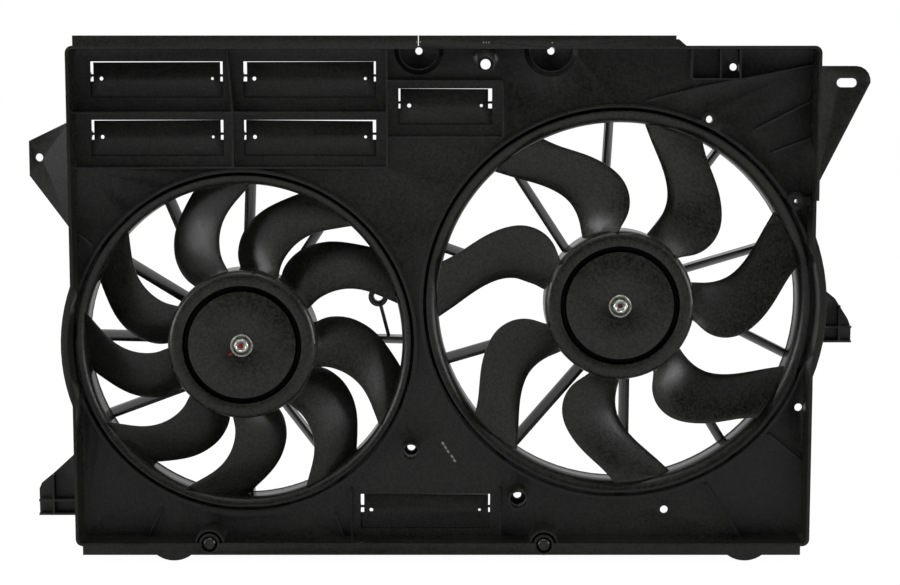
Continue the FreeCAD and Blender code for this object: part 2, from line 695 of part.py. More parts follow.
def isolator_sockets():
    """The bosses that hold the isolator pins, with an arched hood over each."""
    solids = []
    for x, z in PIN_PLACES:
        solids.append(rod(x, z, ISO_BOSS_R, ISO_BOSS_FRONT, PANEL_REAR))
        hood = tube(x, z, ISO_ARCH_R, ISO_ARCH_R - RIB_T, LIP_T, PANEL_REAR - PANEL_T / 2)
        above = box(x - ISO_ARCH_R, x + ISO_ARCH_R, LIP_T, PANEL_REAR, BODY_Z0 + WALL_T / 2, z + ISO_ARCH_R)
        solids.append(hood.common(above))
    return solids


def isolator_recesses():
    """The stepped holes for the isolator pins in their bosses."""
    cuts = []
    for x, z in PIN_PLACES:
        cuts.append(rod(x, z, ISO_HEAD_R + ISO_HEAD_CLEAR, -1.0, ISO_HEAD_L + ISO_HEAD_CLEAR))
        cuts.append(rod(x, z, ISO_NECK_R + ISO_CLEAR, -1.0, PANEL_REAR - ISO_BACK_L))
        cuts.append(rod(x, z, ISO_STEM_R + ISO_CLEAR, -1.0, PANEL_REAR + 1.0))
    return cuts


def eyelet():
    """The harness ring on a short stalk that stands on one of the left struts."""
    x, z = EYELET
    foot_x, foot_z = EYELET_FOOT
    front = STRUT_FRONT + STRUT_W / 2
    rear = STRUT_REAR - STRUT_W / 2
    stalk = wall_between(x, z, foot_x, foot_z, EYELET_STALK_W, front, rear)
    ring = rod(x, z, EYELET_R, front, rear).fuse(stalk)
    return ring.cut(rod(x, z, EYELET_HOLE_R, front, rear))


def fan_shroud():
    """The one-piece moulded shroud."""
    bulges = [bulge(fan, 0.0, BULGE_FACE, PANEL_REAR) for fan in FANS]
    tray = body_block(0.0, 0.0, PANEL_REAR).multiFuse(bulges)
    tray = tray.cut(body_block(WALL_T, -1.0, RECESS))
    added = lips_and_feet() + panel_ribs() + corner_ribs() + top_pockets() + clip_box() + bosses()
    added += [left_ear(), right_ear()] + side_tabs() + isolator_sockets()
    added += [lip_pad(FANS[0], 270.0)]
    for window in WINDOWS:
        added += hinge_lugs(window)
    tray = tray.multiFuse(added)
    cuts = [rod(fan.x, fan.z, fan.barrel_r, -1.0, BARREL_REAR - REAR_FLANGE_T) for fan in FANS]
    cuts += [bulge_hollow(fan) for fan in FANS]
    cuts += panel_holes() + isolator_recesses()
    for window in WINDOWS:
        cuts.append(window_cut(window))
        cuts += hinge_holes(window)
    for cut in cuts:
        tray = tray.cut(cut)
    return tray.multiFuse([barrel(fan) for fan in FANS]).removeSplitter()


def flap(window):
    """One relief flap: a narrow upper part, a lower part that laps behind the panel, and two pins."""
    left = window.left
    right = window.right
    hinge_z = window.hinge_z
    x0 = left + window.slots[0]
    x1 = right - window.slots[1]
    front = PANEL_REAR + FLAP_GAP
    rear = front + FLAP_T
    narrow = plate([(x0, window.bottom), (x1, window.bottom), (x1, window.top - window.slits[1]),
                    (x0, window.top - window.slits[0])], front, rear)
    lap = box(left - FLAP_LAP, right + FLAP_LAP, front, rear, window.bottom - FLAP_LAP, hinge_z - LAP_START)
    pieces = [lap]
    for x in (x0, x1 - FLAP_CHEEK_L):
        pieces.append(cross_rod(x, x + FLAP_CHEEK_L, HINGE_DEPTH, hinge_z, FLAP_CHEEK_R))
    pieces.append(cross_rod(left - LUG_W, x0 + 1.0, HINGE_DEPTH, hinge_z, FLAP_PIN_R))
    pieces.append(cross_rod(x1 - 1.0, right + LUG_W, HINGE_DEPTH, hinge_z, FLAP_PIN_R))
    hole_z = hinge_z - FLAP_HOLE_DROP
    holes = []
    for x, r in zip((left + FLAP_HOLE_IN, right - FLAP_HOLE_IN), FLAP_HOLE_R):
        pieces.append(rod(x, hole_z, r + FLAP_BOSS_W, front - FLAP_BOSS_H, rear))
        holes.append(rod(x, hole_z, r, front - FLAP_BOSS_H, HINGE_DEPTH + FLAP_CHEEK_R))
    door = narrow.multiFuse(pieces)
    for hole in holes:
        door = door.cut(hole)
    return door


def hub(fan):
    """The fan's hub: a cup with a grooved front, a centre boss and inner ribs."""
    back = HUB_FRONT + HUB_T
    groove_back = HUB_FRONT + GROOVE_D + HUB_T
    inner_r = HUB_R - HUB_T
    boss_r = INSERT_R + HUB_BOSS_T
    bore_r = INSERT_R + FIT_CLEAR
    groove_outline = [(GROOVE_IN_R, HUB_FRONT), (GROOVE_IN_R + GROOVE_SLOPE, HUB_FRONT + GROOVE_D),
                      (GROOVE_OUT_R - GROOVE_SLOPE, HUB_FRONT + GROOVE_D), (GROOVE_OUT_R, HUB_FRONT)]
    profile = [(bore_r, HUB_FRONT)] + groove_outline
    profile += arc_points(HUB_R - HUB_EDGE_R, HUB_FRONT + HUB_EDGE_R, HUB_EDGE_R, -90, 0, 6)
    profile += [(HUB_R, BAND_REAR), (inner_r, BAND_REAR), (inner_r, back + HUB_T), (inner_r - HUB_T, back),
                (GROOVE_OUT_R + GROOVE_WALL, back), (GROOVE_OUT_R + GROOVE_WALL, groove_back),
                (GROOVE_IN_R - GROOVE_WALL, groove_back),
                (GROOVE_IN_R - GROOVE_WALL, back), (boss_r, back), (boss_r, HUB_FRONT + INSERT_L),
                (bore_r, HUB_FRONT + INSERT_L)]
    cup = turned(profile, fan.x, fan.z)
    half = HUB_T / 2
    rib = box(fan.x + boss_r - 1.0, fan.x + inner_r + 1.0, back - 0.5, HUB_FRONT + INSERT_L - HUB_RIB_SHORT,
              fan.z - half, fan.z + half)
    groove = turned(groove_outline, fan.x, fan.z)
    return cup.multiFuse(around(rib, fan, HUB_RIBS)).cut(groove)


def band(fan):
    """The ring round the blade tips, flared forwards and outwards at its front."""
    flare = fan.flare_r - fan.band_r
    outer = arc_points(fan.flare_r, BAND_FRONT + flare, flare, 180, 270, 8)
    inner = arc_points(fan.flare_r, BAND_FRONT + flare, flare - BAND_T, 270, 180, 8)
    profile = [(fan.band_r, BAND_REAR)] + outer + inner + [(fan.band_r + BAND_T, BAND_REAR)]
    return turned(profile, fan.x, fan.z)


def blade_section(fan, share, lead, trail):
    """A closed curve round one blade section, in the plane through its two edges at their radius."""
    r = HUB_R + share * (fan.band_r - HUB_R)
    middle = math.radians((lead + trail) / 2)
    half_angle = math.radians(trail - lead) / 2
    half_chord = r * math.sin(half_angle)
    distance = r * math.cos(half_angle)
    root_front, tip_front, rear = fan.depths
    front = root_front + share * (tip_front - root_front)
    depth = rear - front
    radial = Vector(math.cos(middle), 0, math.sin(middle))
    tangent = Vector(-math.sin(middle), 0, math.cos(middle))

    def camber(u):
        return half_chord * (2 * u - 1), front + depth * (u - BLADE_CAMBER * u * (1 - u))

    def side_curve(side):
        points = []
        for u in [0.0, 0.2, 0.5, 0.8, 1.0]:
            t, d = camber(u)
            t1, d1 = camber(u + 0.01)
            t0, d0 = camber(u - 0.01)
            norm = math.hypot(t1 - t0, d1 - d0)
            half = side * BLADE_T / 2 * (1 - BLADE_EDGE_THIN * (2 * u - 1) ** 4)
            across = t - (d1 - d0) / norm * half
            along = d + (t1 - t0) / norm * half
            points.append(radial * distance + tangent * across + Vector(fan.x, RIM_Y + along, fan.z))
        curve = Part.BSplineCurve()
        curve.interpolate(points)
        return curve.toShape(), points[0], points[-1]

    upper, upper_lead, upper_trail = side_curve(1)
    lower, lower_lead, lower_trail = side_curve(-1)
    rear_edge = Part.makeLine(upper_trail, lower_trail)
    front_edge = Part.makeLine(lower_lead, upper_lead)
    return Part.Wire([upper, rear_edge, lower, front_edge])


def blades(fan):
    """All the blades of one fan, each trimmed between the hub and the band."""
    stations = list(fan.stations)
    share, lead, trail = stations[0]
    stations.insert(0, (-BLADE_RUN_ON, lead, trail))
    inner, outer = stations[-2:]
    more = BLADE_RUN_ON / (outer[0] - inner[0])
    lead = outer[1] + more * (outer[1] - inner[1])
    trail = outer[2] + more * (outer[2] - inner[2])
    stations.append((1.0 + BLADE_RUN_ON, lead, trail))
    one = Part.makeLoft([blade_section(fan, s, lead, trail) for s, lead, trail in stations], True)
    span = tube(fan.x, fan.z, fan.band_r + BAND_T / 2, HUB_R - HUB_T / 2, HUB_FRONT, BAND_REAR)
    blade = one.common(span)
    return [around(blade, fan, 1, turn)[0] for turn in fan.turns]


def fan_rotor(fan):
    """The moulded fan: hub, blades and band in one piece."""
    return hub(fan).multiFuse([band(fan)] + blades(fan))


def hub_insert(fan):
    """The metal drive bush in the fan's centre."""
    rear = HUB_FRONT + INSERT_L
    bore = SHAFT_R + FIT_CLEAR
    profile = [(bore, HUB_FRONT), (INSERT_R, HUB_FRONT), (INSERT_R, rear), (INSERT_R + INSERT_FLANGE_W, rear),
               (INSERT_R + INSERT_FLANGE_W, rear + INSERT_FLANGE_T), (bore, rear + INSERT_FLANGE_T)]
    return turned(profile, fan.x, fan.z)


def fan_washer(fan):
    """The dished washer under the fan's nut."""
    bore = SHAFT_R + FIT_CLEAR
    front = HUB_FRONT - WASHER_T
    rim = WASHER_R - WASHER_RIM_W
    profile = [(bore, front + WASHER_DISH), (rim, front + WASHER_DISH), (rim + WASHER_EDGE, front),
               (WASHER_R - WASHER_EDGE / 2, front), (WASHER_R, front + WASHER_EDGE / 2),
               (WASHER_R, HUB_FRONT), (bore, HUB_FRONT)]
    return turned(profile, fan.x, fan.z)


def fan_nut(fan):
    """The nut that holds the fan on its shaft."""
    rear = HUB_FRONT - WASHER_T + WASHER_DISH
    front = rear - NUT_H
    corner_r = NUT_AF / math.sqrt(3)
    corners = [(fan.x + corner_r * math.cos(math.radians(60 * i)),
                fan.z + corner_r * math.sin(math.radians(60 * i))) for i in range(6)]
    hexagon = plate(corners, front, rear)
    bore = SHAFT_R + FIT_CLEAR
    af_r = NUT_AF / 2
    rounding = turned([(bore, front + NUT_SINK_W), (bore + NUT_SINK_W, front), (af_r - NUT_CHAMFER_IN, front),
                       (corner_r, front + NUT_CHAMFER_L), (corner_r, rear), (bore, rear)], fan.x, fan.z)
    return hexagon.common(rounding)


def motor_shaft(fan):
    """The motor's shaft, from the nut to the rear bearing."""
    rear = CAN_FRONT + CAN_L + BEARING_L
    profile = [(0, SHAFT_FRONT), (SHAFT_R - SHAFT_EDGE, SHAFT_FRONT), (SHAFT_R, SHAFT_FRONT + SHAFT_EDGE),
               (SHAFT_R, rear), (0, rear)]
    return turned(profile, fan.x, fan.z)


def motor_can(fan):
    """The motor's steel can with a bearing seat in its front and three fixing ears."""
    front = CAN_FRONT
    rear = front + CAN_L
    seat_r = BEARING_R + FIT_CLEAR
    profile = [(seat_r, front), (CAN_R - CAN_EDGE, front), (CAN_R, front + CAN_EDGE), (CAN_R, rear),
               (CAN_R - CAN_T, rear), (CAN_R - CAN_T, front + CAN_EDGE + CAN_T),
               (CAN_R - CAN_EDGE - CAN_T, front + CAN_T), (seat_r + CAN_T, front + CAN_T),
               (seat_r + CAN_T, front + BEARING_L), (seat_r, front + BEARING_L)]
    can = turned(profile, fan.x, fan.z)
    d0 = CARRIER_FRONT - MOTOR_FLANGE_T
    ear = box(fan.x + CAN_R - CAN_T / 2, fan.x + SCREW_PCD_R, d0, CARRIER_FRONT,
              fan.z - MOTOR_EAR_R, fan.z + MOTOR_EAR_R)
    ear = ear.fuse(rod(fan.x + SCREW_PCD_R, fan.z, MOTOR_EAR_R, d0, CARRIER_FRONT))
    ear = ear.cut(rod(fan.x + SCREW_PCD_R, fan.z, SCREW_R + FIT_CLEAR, d0, CARRIER_FRONT))
    return can.multiFuse(around(ear, fan, MOTOR_EARS, 90.0))


def motor_screws(fan):
    """The three screws that hold the motor to its carrier, as separate solids."""
    front = CARRIER_FRONT - MOTOR_FLANGE_T
    head = rod(fan.x + SCREW_PCD_R, fan.z, SCREW_HEAD_R, front - SCREW_HEAD_L, front)
    shank = rod(fan.x + SCREW_PCD_R, fan.z, SCREW_R, front - SCREW_HEAD_L, STRUT_REAR)
    return Part.makeCompound(around(head.fuse(shank), fan, MOTOR_EARS, 90.0))


def motor_end_cover(fan):
    """The cover that closes the motor's rear and seats its rear bearing."""
    front = CAN_FRONT + CAN_L
    seat_r = BEARING_R + FIT_CLEAR
    rear = front + COVER_T
    end = rear + COVER_BOSS_L
    profile = [(seat_r, front), (CAN_R, front), (CAN_R, rear), (seat_r + COVER_T, rear),
               (seat_r + COVER_T, end), (0, end), (0, end - COVER_SKIN), (seat_r, end - COVER_SKIN)]
    return turned(profile, fan.x, fan.z)


def motor_connector(fan):
    """The inlet for the car's lead, on the motor's rear."""
    wide = CONNECTOR_W
    high = CONNECTOR_H
    x0 = fan.x - wide / 2
    z0 = fan.z - CAN_R + CONNECTOR_UP
    d0 = CAN_FRONT + CAN_L + COVER_T
    d1 = d0 + COVER_BOSS_L
    shell = box(x0, x0 + wide, d0, d1, z0, z0 + high)
    wall = CONNECTOR_WALL
    shell = shell.cut(box(x0 + wall, x0 + wide - wall, d0 + wall, d1, z0 + wall, z0 + high - wall))
    pins = []
    half_w = CONNECTOR_PIN_W / 2
    half_t = CONNECTOR_PIN_T / 2
    middle = z0 + high / 2
    for x in (fan.x - CONNECTOR_PIN_PITCH / 2, fan.x + CONNECTOR_PIN_PITCH / 2):
        pins.append(box(x - half_w, x + half_w, d0 + wall / 2, d1 - wall / 2,
                        middle - half_t, middle + half_t))
    return shell.multiFuse(pins)


def bearing(fan, front):
    """A ring of a bearing between the shaft and its seat."""
    return tube(fan.x, fan.z, BEARING_R, SHAFT_R + FIT_CLEAR, front, front + BEARING_L)


def core_front():
    return CAN_FRONT + BEARING_L + END_TURN_L + CORE_SPACE


def slot_blocks(fan, width, root_r):
    """Radial blocks for the armature's slots."""
    front = core_front()
    half = width / 2
    block = box(fan.x + root_r, fan.x + CORE_R + 1.0, front, front + CORE_L, fan.z - half, fan.z + half)
    return around(block, fan, CORE_SLOTS)


def armature_core(fan):
    """The slotted armature core."""
    front = core_front()
    core = tube(fan.x, fan.z, CORE_R, SHAFT_R + FIT_CLEAR, front, front + CORE_L)
    for block in slot_blocks(fan, SLOT_W, SLOT_ROOT_R):
        core = core.cut(block)
    return core


def windings(fan):
    """The copper windings: bars in the slots joined by a ring at each end."""
    front = core_front()
    top_r = CORE_R - END_TURN_IN
    inner_r = SLOT_ROOT_R - END_TURN_DEEP
    rings = [tube(fan.x, fan.z, top_r, inner_r, front - END_TURN_L, front),
             tube(fan.x, fan.z, top_r, inner_r, front + CORE_L, front + CORE_L + END_TURN_L)]
    bars = slot_blocks(fan, SLOT_W - 2 * WINDING_CLEAR, SLOT_ROOT_R + WINDING_CLEAR)
    limit = rod(fan.x, fan.z, top_r, front, front + CORE_L)
    return rings[0].multiFuse(rings[1:] + [bar.common(limit) for bar in bars])


def commutator_front():
    return core_front() + CORE_L + END_TURN_L + COMM_SPACE


def commutator(fan):
    """The commutator that the brushes run on."""
    front = commutator_front()
    return tube(fan.x, fan.z, COMM_R, SHAFT_R + FIT_CLEAR, front, front + COMM_L)


def brush_card(fan):
    """The insulating card that carries the brushes."""
    d1 = CAN_FRONT + CAN_L
    return tube(fan.x, fan.z, CAN_R - CAN_T - FIT_CLEAR, COMM_R + CARD_HOLE_CLEAR, d1 - CARD_T, d1)


def brushes(fan):
    """The two brushes, as separate solids against the commutator."""
    d1 = CAN_FRONT + CAN_L - CARD_T
    inner = COMM_R + FIT_CLEAR
    brush = box(fan.x + inner + BRUSH_CLEAR, fan.x + inner + BRUSH_L, d1 - BRUSH_W, d1, fan.z - BRUSH_W / 2,
                fan.z + BRUSH_W / 2)
    return Part.makeCompound(around(brush, fan, 2))


def magnets(fan):
    """The four arc magnets on the can's inner wall, as separate solids."""
    front = core_front() - MAGNET_OVERHANG
    rear = core_front() + CORE_L + MAGNET_OVERHANG
    ring = tube(fan.x, fan.z, CAN_R - CAN_T - FIT_CLEAR, MAGNET_IN_R, front, rear)
    reach = 2 * CAN_R
    half = math.radians(MAGNET_SPAN / 2)
    wedge = plate([(fan.x, fan.z), (fan.x + reach * math.cos(half), fan.z - reach * math.sin(half)),
                   (fan.x + reach * math.cos(half), fan.z + reach * math.sin(half))], front, rear)
    return Part.makeCompound(around(ring.common(wedge), fan, MAGNET_COUNT, 45.0))


def isolator_pins():
    """The two round-headed isolator pins, as separate solids."""
    pins = []
    rear = PANEL_REAR - ISO_BACK_L
    head = arc_points(0, ISO_HEAD_L, ISO_HEAD_R, 0, -50, 5)
    top = ISO_HEAD_L - ISO_HEAD_R * math.sin(math.radians(50))
    for x, z in PIN_PLACES:
        end = PANEL_REAR + 2.0
        profile = [(r, d - top) for r, d in head] + [(0, 0.0), (0, end), (ISO_STEM_R, end), (ISO_STEM_R, rear), (ISO_NECK_R, rear), (ISO_NECK_R, ISO_HEAD_L - top)]
        pins.append(turned(profile, x, z))
    return Part.makeCompound(pins)


def all_parts():
    """Every node's name with its shape."""
    parts = {"fan_shroud": fan_shroud(), "isolator_pins": isolator_pins()}
    for number, window in enumerate(WINDOWS, 1):
        parts["flap_%d" % number] = flap(window)
    makers = [motor_mount, fan_rotor, hub_insert, fan_washer, fan_nut, motor_shaft, motor_can, motor_screws,
              motor_end_cover, motor_connector, armature_core, windings, commutator, brush_card, brushes,
              magnets]
    for fan in FANS:
        for maker in makers:
            parts["%s_%s" % (fan.side, maker.__name__)] = maker(fan)
        parts[fan.side + "_front_bearing"] = bearing(fan, CAN_FRONT)
        parts[fan.side + "_rear_bearing"] = bearing(fan, CAN_FRONT + CAN_L)
    return parts


os.makedirs("parts", exist_ok=True)
for name, shape in all_parts().items():
    shape.exportStep("parts/%s.step" % name)
    report = (name, len(shape.Solids), shape.Volume, shape.isValid())
    print("%-24s solids %2d  volume %12.1f  valid %s" % report)
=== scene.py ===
import json
import math

import bmesh
import bpy
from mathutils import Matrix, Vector


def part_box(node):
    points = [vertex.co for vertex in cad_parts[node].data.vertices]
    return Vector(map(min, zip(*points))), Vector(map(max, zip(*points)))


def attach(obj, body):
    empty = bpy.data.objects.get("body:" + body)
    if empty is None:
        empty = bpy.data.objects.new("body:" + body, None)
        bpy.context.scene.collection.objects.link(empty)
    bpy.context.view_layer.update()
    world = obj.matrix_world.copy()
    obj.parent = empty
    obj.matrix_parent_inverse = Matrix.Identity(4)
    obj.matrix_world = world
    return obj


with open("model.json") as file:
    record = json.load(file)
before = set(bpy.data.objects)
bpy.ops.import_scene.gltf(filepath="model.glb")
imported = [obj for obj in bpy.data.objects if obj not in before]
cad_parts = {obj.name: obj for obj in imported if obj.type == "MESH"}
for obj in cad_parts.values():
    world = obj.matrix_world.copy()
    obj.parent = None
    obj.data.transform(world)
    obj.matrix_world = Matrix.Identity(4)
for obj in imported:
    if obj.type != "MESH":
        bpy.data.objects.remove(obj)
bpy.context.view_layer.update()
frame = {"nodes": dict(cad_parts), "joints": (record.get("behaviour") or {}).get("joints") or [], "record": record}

MM = 0.001
SIDES = ("left", "right")

# Places read from the frame; faces that look towards the radiator are given by their Y
JOINTS = {joint["name"]: joint for joint in frame["joints"]}
FAN_AXIS = {side: Vector(JOINTS[side + "_fan_spin"]["pos_m"]) for side in SIDES}
RIM_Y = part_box("fan_shroud")[0].y
HUB_Y = {side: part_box(side + "_fan_rotor")[0].y for side in SIDES}
SHAFT_Y = {side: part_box(side + "_motor_shaft")[0].y for side in SIDES}
PANEL_DEPTH = 32.0 * MM
FLAP_DEPTH = 35.0 * MM
PANEL_Y = RIM_Y + PANEL_DEPTH
FLAP_Y = RIM_Y + FLAP_DEPTH

# The photograph's camera, and its frame in pixels
CAMERA_PLACE = Vector((0.001, -1.8242, 0.4616))
CAMERA_PITCH = math.radians(6.45)
LENS = 75.2
SENSOR = 36.0
PHOTO_SIZE = (900, 585)

# Small marks, placed by their pixels in the photograph
STAMP_PIXELS = [(443.0, 443.5), (445.5, 447.5), (448.0, 451.5), (452.0, 456.5), (454.5, 460.5)]
STAMP_TILT = 55.0
TICK_PIXELS = [(483.5, 42.4), (486.2, 42.4), (489.0, 42.4), (552.2, 42.6), (416.8, 42.0), (420.4, 42.0)]
SCUFF_PIXELS = {"flap_1": [(203.0, 88.0)], "flap_2": [(197.0, 148.0)], "flap_3": [(351.0, 88.0)]}
SMEAR_PIXEL = {"left": (231.0, 354.0), "right": (609.5, 300.0)}
RIGHT_MARK_PIXEL = (592.0, 307.0)

# The left hub's mould marks: where they stand round the axis, in degrees, and their sizes
HUB_MARK_TURNS = (37, 80, 117, 159, 200, 242, 279, 317, 359)
HUB_MARK_RADIUS = 64.5 * MM
HUB_MARK_CURVE = 1.5 * MM
HUB_MARK_THICK = 0.7 * MM
RIGHT_MARK_CURVE = 1.6 * MM
RIGHT_MARK_THICK = 0.35 * MM
INK_THICK = 0.04 * MM
SCUFF_THICK = 0.03 * MM

# How far the edges of the large mouldings and of the other pieces are rounded
MOULDED_EDGE = 0.8 * MM
FINE_EDGE = 0.4 * MM

# The painted shade in the hub's groove and in the washer's dish, by their distances from the fan's axis
GROOVE_SHADE_RADII = (52.1 * MM, 56.9 * MM)
DISH_SHADE_RADII = (6.6 * MM, 9.4 * MM)

# The plastics' colours, and the scales of their clouds, speckle, grain and flow streaks
BLACK = (0.0018, 0.0020, 0.0014)
GREY = (0.0290, 0.0290, 0.0255)
PANEL_BLACK = (0.0008, 0.0010, 0.0006)
PANEL_GREY = (0.0190, 0.0192, 0.0165)
# The colour of the painted shade in the hubs' grooves
GROOVE_SHADE_COLOUR = (0.0015, 0.0015, 0.0013)
CLOUD_SCALE = 9.0
SPECKLE_SCALE = 430.0
GRAIN_SCALE = 1500.0
STREAKS_ROUND = 7.0
STREAKS_ALONG = 14.0
STREAK_SHARE = 0.6

# The world's strengths behind, above and all round the object
WORLD_BEHIND = 0.6
WORLD_ABOVE = 0.45
WORLD_AROUND = 0.01

# The lamps: place, width and height in metres, and power in watts, all aimed at the middle
MIDDLE = (0.0, 0.0, 0.25)
LAMPS = {
    "left_softbox": ((-5.0, -1.4, 0.9), (2.0, 2.6), 112.0),
    "right_softbox": ((5.0, -1.4, 0.9), (2.0, 2.6), 118.0),
    "upper_left_softbox": ((-3.2, -1.2, 3.2), (2.0, 2.0), 11.0),
    "top_softbox": ((0.0, -0.8, 4.5), (3.0, 1.4), 38.0),
}
FLOOR_REACH = 40.0
FLOOR_SINK = 0.5 * MM


def at_pixel(pixel, y):
    """The place on the plane of a given Y that the photograph shows at a pixel."""
    scale = LENS / SENSOR * PHOTO_SIZE[0]
    across = (pixel[0] - PHOTO_SIZE[0] / 2) / scale
    up = (PHOTO_SIZE[1] / 2 - pixel[1]) / scale
    c = math.cos(CAMERA_PITCH)
    s = math.sin(CAMERA_PITCH)
    ray = Vector((across, c + up * s, up * c - s))
    return CAMERA_PLACE + ray * ((y - CAMERA_PLACE.y) / ray.y)


def new_material(name):
    """An empty node material with its shader."""
    material = bpy.data.materials.new(name)
    material.use_nodes = True
    tree = material.node_tree
    tree.nodes.clear()
    output = tree.nodes.new("ShaderNodeOutputMaterial")
    shader = tree.nodes.new("ShaderNodeBsdfPrincipled")
    tree.links.new(shader.outputs["BSDF"], output.inputs["Surface"])
    return material, tree, shader


def place(tree):
    """The object's own coordinates, which are the CAD frame's metres."""
    return tree.nodes.new("ShaderNodeTexCoord").outputs["Object"]


def noise(tree, where, scale, detail=3.0, roughness=0.55):
    """A noise texture's value at a place."""
    node = tree.nodes.new("ShaderNodeTexNoise")
    node.inputs["Scale"].default_value = scale
    node.inputs["Detail"].default_value = detail
    node.inputs["Roughness"].default_value = roughness
    tree.links.new(where, node.inputs["Vector"])
    return node.outputs["Fac"]


def spread(tree, value, low, high, from_low=0.3, from_high=0.7):
    """A value stretched from one range to another."""
    node = tree.nodes.new("ShaderNodeMapRange")
    node.inputs["From Min"].default_value = from_low
    node.inputs["From Max"].default_value = from_high
    node.inputs["To Min"].default_value = low
    node.inputs["To Max"].default_value = high
    tree.links.new(value, node.inputs["Value"])
    return node.outputs["Result"]


def mixed(tree, share, first, second):
    """Two colours mixed by a value."""
    node = tree.nodes.new("ShaderNodeMix")
    node.data_type = "RGBA"
    tree.links.new(share, node.inputs["Factor"])
    for socket, colour in (("A", first), ("B", second)):
        target = [i for i in node.inputs if i.name == socket and i.type == "RGBA"][0]
        if isinstance(colour, tuple):
            target.default_value = (*colour, 1.0)
        else:
            tree.links.new(colour, target)
    return [o for o in node.outputs if o.type == "RGBA"][0]


def maths(tree, operation, first, second=None):
    """One sum of values or sockets."""
    node = tree.nodes.new("ShaderNodeMath")
    node.operation = operation
    for index, value in enumerate((first, second)):
        if value is None:
            continue
        if isinstance(value, (int, float)):
            node.inputs[index].default_value = value
        else:
            tree.links.new(value, node.inputs[index])
    return node.outputs[0]


def bumped(tree, height, strength, distance, below=None):
    """A bump from a height, on top of another bump if one is given."""
    node = tree.nodes.new("ShaderNodeBump")
    node.inputs["Strength"].default_value = strength
    node.inputs["Distance"].default_value = distance
    tree.links.new(height, node.inputs["Height"])
    if below is not None:
        tree.links.new(below, node.inputs["Normal"])
    return node.outputs["Normal"]


def vectors(tree, operation, first, second=None):
    """One sum of a vector socket with a constant vector, or of the socket alone."""
    node = tree.nodes.new("ShaderNodeVectorMath")
    node.operation = operation
    tree.links.new(first, node.inputs[0])
    if second is not None:
        node.inputs[1].default_value = second
    return node


def flow_lines(tree, where, centre):
    """Streaks that run out from a fan's axis, as the plastic flowed in its mould."""
    shift = vectors(tree, "SUBTRACT", where, centre).outputs[0]
    split = tree.nodes.new("ShaderNodeSeparateXYZ")
    tree.links.new(shift, split.inputs[0])
    angle = maths(tree, "ARCTAN2", split.outputs["Z"], split.outputs["X"])
    length = vectors(tree, "LENGTH", shift).outputs["Value"]
    polar = tree.nodes.new("ShaderNodeCombineXYZ")
    tree.links.new(maths(tree, "MULTIPLY", angle, STREAKS_ROUND), polar.inputs[0])
    tree.links.new(maths(tree, "MULTIPLY", length, STREAKS_ALONG), polar.inputs[1])
    return noise(tree, polar.outputs[0], 1.6, 4.0, 0.6)


def distance_from(tree, where, centre):
    """How far a place is from a fan's axis."""
    shift = vectors(tree, "SUBTRACT", where, centre).outputs[0]
    flat = vectors(tree, "MULTIPLY", shift, (1.0, 0.0, 1.0)).outputs[0]
    return vectors(tree, "LENGTH", flat).outputs["Value"]


def band(tree, value, inner, outer, soft=0.0004):
    """One between two distances, and nothing outside them."""
    return maths(tree, "MULTIPLY", spread(tree, value, 0.0, 1.0, inner - soft, inner + soft),
                 spread(tree, value, 1.0, 0.0, outer - soft, outer + soft))


def moulded_plastic(name, dark, light, rough_low, rough_high, grain=0.12, gloss_drop=0.2, centre=None):
    """Black moulded plastic: a fine grain, cloudy patches, more gloss where it is seen at a slant, and painted
    shade in a fan hub's groove.
    """
    material, tree, shader = new_material(name)
    where = place(tree)
    clouds = noise(tree, where, CLOUD_SCALE, 5.0)
    if centre is not None:
        clouds = maths(tree, "ADD", maths(tree, "MULTIPLY", clouds, 1.0 - STREAK_SHARE),
                       maths(tree, "MULTIPLY", flow_lines(tree, where, centre), STREAK_SHARE))
    speckle = noise(tree, where, SPECKLE_SCALE, 2.0, 0.7)
    grain_fine = noise(tree, where, GRAIN_SCALE, 2.0)
    share = maths(tree, "ADD", spread(tree, speckle, 0.0, 0.7, 0.40, 0.60), spread(tree, clouds, 0.0, 0.3))
    colour = mixed(tree, share, dark, light)
    if centre is not None:
        # Painted shade: the hub's groove is darkened, and its reflection dulled, by distance from the axis
        groove = band(tree, distance_from(tree, where, centre), *GROOVE_SHADE_RADII)
        colour = mixed(tree, groove, colour, GROOVE_SHADE_COLOUR)
        tree.links.new(spread(tree, groove, 0.5, 0.06, 0.0, 1.0), shader.inputs["Specular IOR Level"])
    tree.links.new(colour, shader.inputs["Base Color"])
    slant = tree.nodes.new("ShaderNodeLayerWeight")
    slant.inputs["Blend"].default_value = 0.5
    gloss = spread(tree, slant.outputs["Facing"], 0.0, -gloss_drop, 0.3, 0.85)
    rough = maths(tree, "ADD", spread(tree, clouds, rough_low, rough_high),
                  spread(tree, speckle, -0.04, 0.04))
    tree.links.new(maths(tree, "ADD", rough, gloss), shader.inputs["Roughness"])
    coarse = bumped(tree, speckle, grain, 0.0006)
    tree.links.new(bumped(tree, grain_fine, grain, 0.0002, coarse), shader.inputs["Normal"])
    return material


def plain_metal(name, dark, light, rough_low, rough_high, scale=600.0):
    """Bare or plated metal with a fine uneven finish."""
    material, tree, shader = new_material(name)
    where = place(tree)
    patches = noise(tree, where, scale * 0.12, 4.0)
    fine = noise(tree, where, scale, 3.0)
    tree.links.new(mixed(tree, spread(tree, patches, 0.0, 1.0), dark, light), shader.inputs["Base Color"])
    tree.links.new(spread(tree, fine, rough_low, rough_high), shader.inputs["Roughness"])
    shader.inputs["Metallic"].default_value = 1.0
    tree.links.new(bumped(tree, fine, 0.1, 0.0002), shader.inputs["Normal"])
    return material


